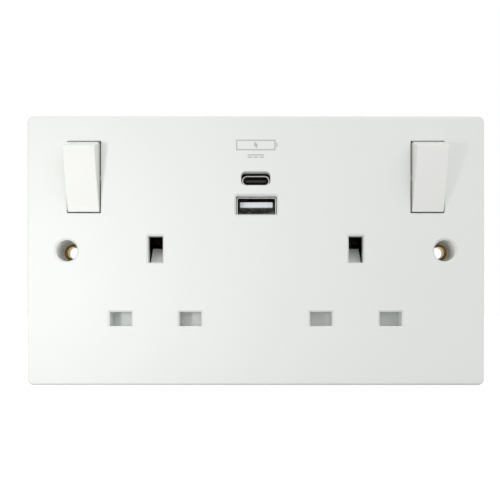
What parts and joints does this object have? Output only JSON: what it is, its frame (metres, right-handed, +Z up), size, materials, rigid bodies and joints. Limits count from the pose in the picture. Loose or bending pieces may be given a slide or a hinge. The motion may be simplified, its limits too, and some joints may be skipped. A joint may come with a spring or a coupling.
{
  "type": "usb wall socket",
  "caption": "Twin switched wall socket on a white two-gang plate, with shuttered three-pin outlets, rocker switches and a USB charger with one wide and one oval outlet.",
  "frame": {"origin": "midway between the two fixing holes, on the wall plane", "axes": "+X to the right and +Z up as seen from the room, +Y into the wall"},
  "size_m": [0.146, 0.0393, 0.086],
  "materials": {
    "plate": "glossy moulded urea, white",
    "rockers": "glossy moulded plastic, white",
    "shutters": "satin moulded plastic, white",
    "retainers": "satin moulded plastic, off-white",
    "housing": "matte moulded plastic, pale grey",
    "charger": "matte moulded plastic, dark grey",
    "brass": "bright brass",
    "copper": "rolled copper",
    "contact_silver": "silver rivet",
    "nickel": "drawn and plated steel",
    "gold": "gold flash",
    "zinc_steel": "zinc-plated steel",
    "spring_steel": "drawn spring wire",
    "plunger": "natural nylon",
    "grey_tongue": "grey moulded plastic",
    "black_tongue": "black moulded plastic",
    "board": "green fibre board",
    "chip": "black moulded chip",
    "capacitor": "sleeved cans",
    "transformer": "taped winding"
  },
  "bodies": {
    "base": {"capacitors": "capacitor", "charger_case": "charger", "circuit_board": "board", "control_chip": "chip", "earth_strap": "brass", "eyelet_left": "brass", "eyelet_right": "brass", "feed_pins": "brass", "fixed_tip_left": "contact_silver", "fixed_tip_right": "contact_silver", "front_plate": "plate", "housing_screws": "zinc_steel", "live_bar": "brass", "live_contact_left": "brass", "live_contact_right": "brass", "live_link_left": "brass", "live_link_right": "brass", "neutral_bar": "brass", "neutral_contact_left": "brass", "neutral_contact_right": "brass", "rear_housing": "housing", "shutter_retainer_left": "retainers", "shutter_retainer_right": "retainers", "shutter_spring_left": "spring_steel", "shutter_spring_right": "spring_steel", "terminal_earth_left": "brass", "terminal_earth_right": "brass", "terminal_live": "brass", "terminal_neutral": "brass", "terminal_screws": "zinc_steel", "transformer": "transformer", "usb_a_contacts": "gold", "usb_a_shell": "nickel", "usb_a_tongue": "grey_tongue", "usb_c_shell": "nickel", "usb_c_tongue": "black_tongue"},
    "rocker_left": {"rocker_left": "rockers", "plunger_spring_left": "spring_steel"},
    "plunger_left": {"plunger_left": "plunger"},
    "moving_contact_left": {"moving_contact_left": "copper"},
    "shutter_left": {"shutter_left": "shutters"},
    "rocker_right": {"rocker_right": "rockers", "plunger_spring_right": "spring_steel"},
    "plunger_right": {"plunger_right": "plunger"},
    "moving_contact_right": {"moving_contact_right": "copper"},
    "shutter_right": {"shutter_right": "shutters"}
  },
  "joints": [
    {"name": "switch_left", "type": "hinge", "parent": "base", "child": "rocker_left", "pos_m": [-0.05475, -0.0076, 0.02345], "axis": [-1, 0, 0], "range_deg": [0, 31]},
    {"name": "contact_left", "type": "hinge", "parent": "base", "child": "moving_contact_left", "pos_m": [-0.05475, 0.00365, 0.02345], "axis": [1, 0, 0], "range_deg": [0, 18.6]},
    {"name": "plunger_left", "type": "slide", "parent": "rocker_left", "child": "plunger_left", "axis": [0, -0.9636, -0.2672], "range_m": [0, 0.0006], "stiffness_N_per_m": 400},
    {"name": "shutter_left", "type": "slide", "parent": "base", "child": "shutter_left", "axis": [0, 0, -1], "range_m": [0, 0.0058], "stiffness_N_per_m": 50, "springref_m": -0.004, "deforming": ["shutter_spring_left"]},
    {"name": "switch_right", "type": "hinge", "parent": "base", "child": "rocker_right", "pos_m": [0.05475, -0.0076, 0.02345], "axis": [-1, 0, 0], "range_deg": [0, 31]},
    {"name": "contact_right", "type": "hinge", "parent": "base", "child": "moving_contact_right", "pos_m": [0.05475, 0.00365, 0.02345], "axis": [1, 0, 0], "range_deg": [0, 18.6]},
    {"name": "plunger_right", "type": "slide", "parent": "rocker_right", "child": "plunger_right", "axis": [0, -0.9636, -0.2672], "range_m": [0, 0.0006], "stiffness_N_per_m": 400},
    {"name": "shutter_right", "type": "slide", "parent": "base", "child": "shutter_right", "axis": [0, 0, -1], "range_m": [0, 0.0058], "stiffness_N_per_m": 50, "springref_m": -0.004, "deforming": ["shutter_spring_right"]}
  ],
  "couplings": [
    {"joint": "contact_left", "follows": "switch_left", "ratio": 0.6},
    {"joint": "contact_right", "follows": "switch_right", "ratio": 0.6}
  ]
}
